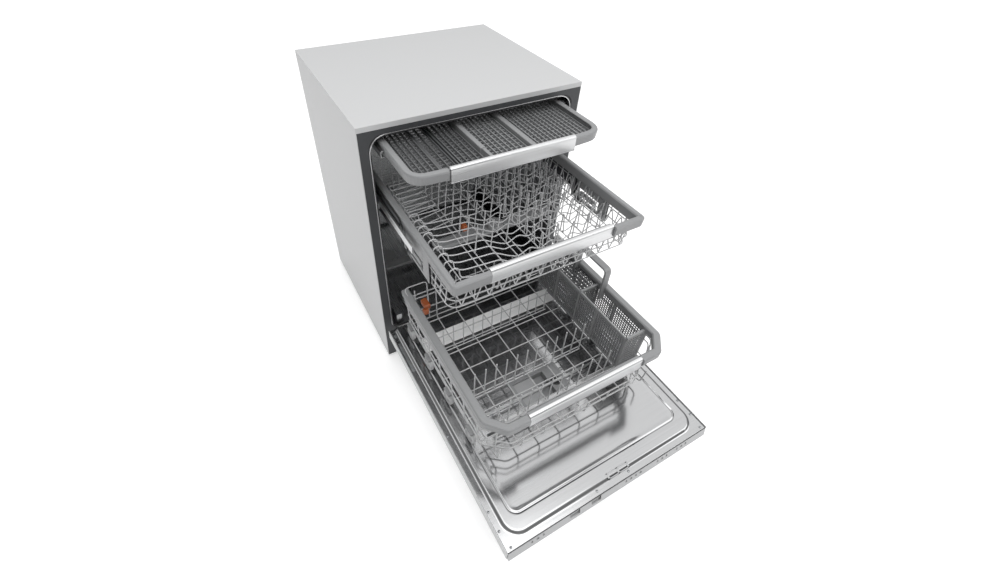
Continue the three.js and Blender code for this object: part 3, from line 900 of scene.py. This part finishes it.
def upper_tines():
    """The comb on the right, the row that folds, and tall posts left of the middle."""
    half, front, back, floor, _, _ = upper_box()
    rng = random.Random(4)
    # rows of bent tines, taller towards the back
    comb, base = [], floor + 5
    for row, x in enumerate(spread(30, half - 44, 5)):
        comb.append([(x, front + 60, base), (x, back - 30, base)])
        for y in spread(front + 76, back - 34, 12):
            bend = x + rng.uniform(-4, 4)
            tall = 54 + 10 * (row % 2) + 18 * smooth_step(-160, 60, y)
            tip = base + tall
            tine = [(x, y - 6, base), (bend, y - 2, tip), (bend, y + 2, tip), (x, y + 6, base)]
            comb.append(rounded(tine, 4, 3))
    dress(wires("upper_rack_comb", comb, UPPER_WIRE), "wire", "upper_rack")

    low, high = span("upper_rack_tine_row")
    y, z0, z1 = (low[1] + high[1]) / 2, low[2] + 2, high[2]
    row = [[(low[0], y, z0), (high[0], y, z0)]]
    row += [[(x, y, z0), (x, y, z1)] for x in spread(low[0] + 4, high[0] - 4, 9)]
    fold_row = wires("upper_rack_fold_row", row, 1.6)
    dress(fold_row, "wire", "upper_tines", ["upper_rack_tine_row"])

    posts, z = [], floor + 12
    for x in (-118, -76, -34):
        posts.append([(x, front + 46, z), (x, back - 26, z)])
        for y in spread(front + 130, back - 30, 9):
            posts.append([(x, y, z), (x + 4, y, floor + 92 + rng.uniform(-3, 3))])
    dress(wires("upper_rack_posts", posts, UPPER_WIRE), "wire", "upper_rack")


def cup_shelf():
    """A serpentine wire with one straight wire along its edge."""
    low, high = span("upper_rack_cup_shelf")
    z, x0, x1, front = (low[2] + high[2]) / 2, low[0] + 13, high[0] - 2, upper_box()[-1]
    path = []
    for i, y in enumerate(spread(front + 12, high[1] - 4, 8)):
        path += [(x0, y, z), (x1, y, z)] if i % 2 else [(x1, y, z), (x0, y, z)]
    edge = [(x0, front, z - 2), (x0, high[1] - 2, z - 2)]
    shelf = wires("upper_rack_cup_shelf_wires", [rounded(path, 6), edge], 1.4)
    dress(shelf, "wire", "cup_shelf", ["upper_rack_cup_shelf"])


def upper_rack():
    upper_cage()
    upper_tines()
    cup_shelf()
    half, front, back, floor, top, _ = upper_box()
    grip = span("upper_rack_handle")[1][0]
    left = [(-half + 3, back - 2, top), (-half + 3, front - 10, top), (-grip - 1, front - 10, top)]
    section = [(-6, -28), (2, -28), (5, -25), (7, -3), (4, 0), (-6, 0), (-9, -3), (-8, -25)]
    rims("upper_rack", rounded(left, 5, 3), section)
    beam = [((-grip, grip), (front - 1, front + 6), (top - 30, top - 1))]
    dress(boxes("upper_rack_beam", beam, 1.2), "rim", "upper_rack")
    handle("upper_rack")
    adjusters()
    clip = boxes("upper_rack_clip", [((-104, -92), (-120, -104), (floor + 8, floor + 24))], 1.5)
    dress(clip, "orange", "upper_rack")


def adjusters():
    """Height adjusters: a windowed plate under the rim on each side, and the rail outside it."""
    for side, sign in SIDES:
        node = f"upper_rack_{side}_rail"
        low, high = span(node)
        middle = abs(low[0] + high[0]) / 2
        y0, z0, z1 = low[1], low[2], high[2]
        bar_x = outwards(sign, middle + 1, middle + 6)
        web_x = outwards(sign, middle - 3, middle - 1)
        bar = boxes(f"{node}_channel", [(bar_x, (y0 + 6, high[1]), (z1 - 34, z1 - 14))], 0.6)
        dress(bar, "handle", "upper_rails", [node])
        web = [(web_x, (y0 + 90, high[1] - 2), (z0, z1 - 2))]
        dress(boxes(f"{node}_carrier", web, 0.6), "charcoal", "upper_rails")
        # a plate with a window between two ribs, and a small catch that fills most of the window
        face, rib = outwards(sign, 243, 249), outwards(sign, 240, 250)
        ys, zs = (y0 - 52, y0 + 84), (z0 - 10, z1 + 6)
        w0, w1, v0, v1 = y0 - 20, y0 + 62, z0 - 2, z0 + 27
        blocks = [
            (face, (ys[0], w0), zs),
            (face, (w1, ys[1]), zs),
            (face, (w0, w1), (zs[0], v0)),
            (face, (w0, w1), (v1, zs[1])),
            (rib, (ys[0], ys[0] + 7), zs),
            (rib, (ys[1] - 7, ys[1]), zs),
            (face, (w0 + 11, w1 - 9), (v0 + 8, v1 - 8)),
            (face, (w1 - 9, w1), (v0 + 11, v0 + 15)),
        ]
        plate = boxes(f"upper_rack_{side}_adjuster", blocks, 1.2)
        dress(plate, "rim", "upper_rack")
        # a slanted strut behind the plate
        foot, y1 = zs[0] - 10, ys[1]
        outline = [(y1 - 40, foot), (y1 - 16, foot), (y1 + 24, zs[1]), (y1, zs[1])]
        points = [(x, y, z) for x in face for y, z in outline]
        ends = [(3, 2, 1, 0), (4, 5, 6, 7)]
        strut = mesh_piece(f"upper_rack_{side}_strut", points, tube_faces(2, 4) + ends)
        fix_normals(strut)
        dress(bevel(strut, 1), "mesh", "upper_rack")


LOWER_GRIDS = [f"lower_rack_{name}_grid" for name in GRIDS]
LOWER_CUT = (42, 54)  # how much of each front corner is cut off, along and across


def lower_box():
    """Half width, front, back, floor and top of the lower rack's wires."""
    low, high = span(*LOWER_GRIDS)
    return high[0] - 3, low[1], high[1], low[2], high[2]


def lower_cage():
    """The lower rack's floor and sides as one piece of wires."""
    half, front, back, floor, top = lower_box()
    runs = []
    for z, inset, ahead in (
        (top - 38, 3, 2),
        (top - 54, 5, 3),
        (floor + 54, 10, 4),
        (floor + 27, 11, 5),
        (floor + 6, 14, 14),
    ):
        runs.append(loop_path(half - inset, front + ahead, back - 3, z, LOWER_CUT, 8))
    for y in spread(front + 62, back - 18, 7):
        line = [(-half + 3, top - 14), (-half + 12, floor + 4)]
        line += [(half - 12, floor + 4), (half - 3, top - 14)]
        runs.append(rounded([(x, y, z) for x, z in line], 12))
    for x in spread(-half + 34, half - 34, 8):
        line = [(front + 3, floor + 56), (front + 8, floor + 1)]
        line += [(back - 6, floor + 1), (back - 3, top - 20)]
        runs.append(rounded([(x, *place) for place in line], 12))
    for _, sign in SIDES:
        x, y = sign * (half - 8 - LOWER_CUT[1] / 2), front + LOWER_CUT[0] / 2
        runs.append([(x, y + 2, top - 14), (x, y + 4, floor + 26)])
    # the raised hoop behind the left rim
    y, z = back - 4, top + 1
    hoop = [(-half + 4, back - 80, top - 6), (-half + 4, y, z), (-half + 70, y, z)]
    runs.append(rounded(hoop + [(-half + 74, y, floor + 6)], 14, 6))
    cage = wires("lower_rack_wires", runs, 1.8)
    dress(cage, "wire", "lower_rack", LOWER_GRIDS)


def lower_tines():
    """Two fixed rows of tines and the row that folds."""
    _, front, back, floor, _ = lower_box()
    tines = []
    for y, tall, shift, slant in ((front + 74, 92, 15, -2), (back - 136, 84, 0, 3)):
        x0, x1 = -200 + shift, 140 + shift
        z = floor + 9
        tines += [[(x0, y, z), (x1, y, z)], [(x0, y + 9, z), (x1, y + 9, z)]]
        for x in spread(x0 + 4, x1 - 4, 12):
            tines.append([(x, y + 4, floor + 8), (x, y + 4 + slant, floor + 8 + tall)])
    fixed = wires("lower_rack_fixed_tines", tines, 1.7)
    dress(fixed, "wire", "lower_rack")
    low, high = span("lower_rack_tine_row")
    y, z0, z1 = (low[1] + high[1]) / 2, low[2] + 2, high[2]
    row = [[(low[0], at_y, z0), (high[0], at_y, z0)] for at_y in (y, y + 7)]
    row += [[(x, y, z0), (x, y, z1)] for x in spread(low[0] + 4, high[0] - 4, 12)]
    fold_row = wires("lower_rack_fold_row", row, 1.8)
    dress(fold_row, "wire", "lower_tines", ["lower_rack_tine_row"])


def lower_rack():
    lower_cage()
    lower_tines()
    half, front, back, floor, top = lower_box()
    grip = span("lower_rack_handle")[1][0]
    left = [(-half + 4, back - 4, top), (-half + 4, front + 34, top)]
    left += [(-half + 41, front - 7, top), (-grip - 1, front - 7, top)]
    section = [(-9, -24), (3, -24), (6, -20), (7, -3), (4, 0), (-10, 0), (-13, -3), (-12, -20)]
    rims("lower_rack", rounded(left, 6, 3), section)
    beam = [((-grip, grip), (front - 1, front + 8), (top - 24, top - 1))]
    dress(boxes("lower_rack_beam", beam, 1.2), "rim", "lower_rack")
    handle("lower_rack")
    wheels()
    clip = [((-214, -196), (-116, -84), (floor + 106, floor + 122))]
    clip += [((-220, -204), (-124, -108), (floor + 96, floor + 112))]
    dress(boxes("lower_rack_clip", clip, 4), "orange", "lower_rack")


def wheels():
    """Four wheels a side, each in a forked hanger clipped to the rack's wires."""
    for side, sign in SIDES:
        node = f"lower_rack_{side}_wheels"
        low, high = span(node)
        x, z = (low[0] + high[0]) / 2, (low[2] + high[2]) / 2
        radius = (high[2] - low[2]) / 2
        ys = spread(low[1] + radius, high[1] - radius, 4)
        discs = [wheel_rings((x, y, z), radius, high[0] - low[0]) for y in ys]
        dress(turned(f"{node}_turned", discs), "wire", "lower_rack", [node])
        arm, clamp = sorted((x - sign * 7, x - sign * 4)), (x - 7, x + 7)
        blocks = []
        for y in ys:
            blocks.append((arm, (y - 9, y + 9), (z - 6, z + 26)))
            blocks.append((clamp, (y - 14, y + 14), (z + 22, z + 30)))
        dress(boxes(f"{node}_hangers", blocks, 1.2), "rim", "lower_rack")


# ---- cutlery basket ----
def lattice(plane, across, along, fixed, pitch, bar, thick):
    """Boxes of a square lattice in the plane of X-Z, Y-Z or X-Y, at a fixed third coordinate."""
    depth = (fixed, fixed + thick)

    def block(u, v):
        return {"yz": (depth, u, v), "xz": (u, depth, v), "xy": (u, v, depth)}[plane]

    def bars(limits):
        start, end = limits
        for t in spread(start + bar / 2, end - bar / 2, int((end - start) / pitch) + 1):
            yield t - bar / 2, t + bar / 2

    return [block(u, along) for u in bars(across)] + [block(across, v) for v in bars(along)]


def cutlery_basket():
    """A basket of square mesh in a frame, with lids on its rear half and a carrying strap."""
    low, high = span("cutlery_basket")
    x0, x1, y0, y1 = low[0] + 7, high[0] + 8, low[1] + 5, high[1]
    z0, z1, middle = low[2] + 20, high[2], (y0 + y1) / 2
    mesh, walls = [], (z0, z1 - 8)
    for x in (x0 + 1, x1 - 3):
        mesh += lattice("yz", (y0, y1), walls, x, 7.5, 2.6, 1.6)
    for y in (y0 + 1, middle, y1 - 3):
        mesh += lattice("xz", (x0, x1), walls, y, 7.5, 2.6, 1.6)
    mesh += lattice("xy", (x0, x1), (y0, y1), z0, 9, 3, 2)
    holes = boxes("cutlery_basket_mesh", mesh)
    dress(holes, "basket", "lower_rack", ["cutlery_basket"])
    bars = []
    for x in (x0, x1 - 5):
        bars.append(((x, x + 5), (y0, y1), (z1 - 9, z1)))
        bars.append(((x, x + 5), (y0, y1), (z0, z0 + 5)))
        for y in (y0, y0 + 110, middle, middle + 95, y1 - 7):
            bars.append(((x - 0.5, x + 5.5), (y, y + 7), (z0, z1)))
    for y in (y0, middle, y1 - 7):
        bars.append(((x0, x1), (y, y + 7), (z1 - 9, z1)))
    dress(boxes("cutlery_basket_frame", bars, 1), "rim", "lower_rack")
    lid = lattice("xy", (x0 + 6, x1 - 6), (middle + 6, y1 - 8), z1 - 5, 11, 3.2, 2.4)
    dress(boxes("cutlery_basket_lid", lid), "mesh", "lower_rack")
    x, y, foot, top = x1 - 12, middle - 22, z1 - 30, z1 + 76
    path = [(x, y, foot), (x, y, top), (x, y + 112, top), (x, y + 112, foot)]
    strap = sweep_flat("cutlery_basket_grip", rounded(path, 12, 5), 20, 6)
    dress(strap, "rim", "lower_rack")


def sweep_flat(name, path, wide, thick):
    """A flat strap in a plane of constant x, following a path in Y and Z."""
    points, last = [], len(path) - 1
    for i, place in enumerate(path):
        d = unit(path[min(i + 1, last)] - path[max(i - 1, 0)])
        normal = Vector((0, -d.z, d.y))
        for u, v in ((-wide, -thick), (wide, -thick), (wide, thick), (-wide, thick)):
            points.append(tuple(place + Vector((u / 2, 0, 0)) + normal * (v / 2)))
    ends = [(3, 2, 1, 0), tuple(range(len(points) - 4, len(points)))]
    piece = mesh_piece(name, points, tube_faces(len(path), 4) + ends)
    fix_normals(piece)
    return bevel(piece, 1)


camera()
studio_light()
studio_stage()
dress_frame()
heel_fittings()
back_fittings()
tub_shell()
tub_lip()
tub_fittings()
door_liner()
door_edge()
liner_screws()
latch_and_bezel()
strip_marks()
third_rack()
upper_rack()
lower_rack()
cutlery_basket()
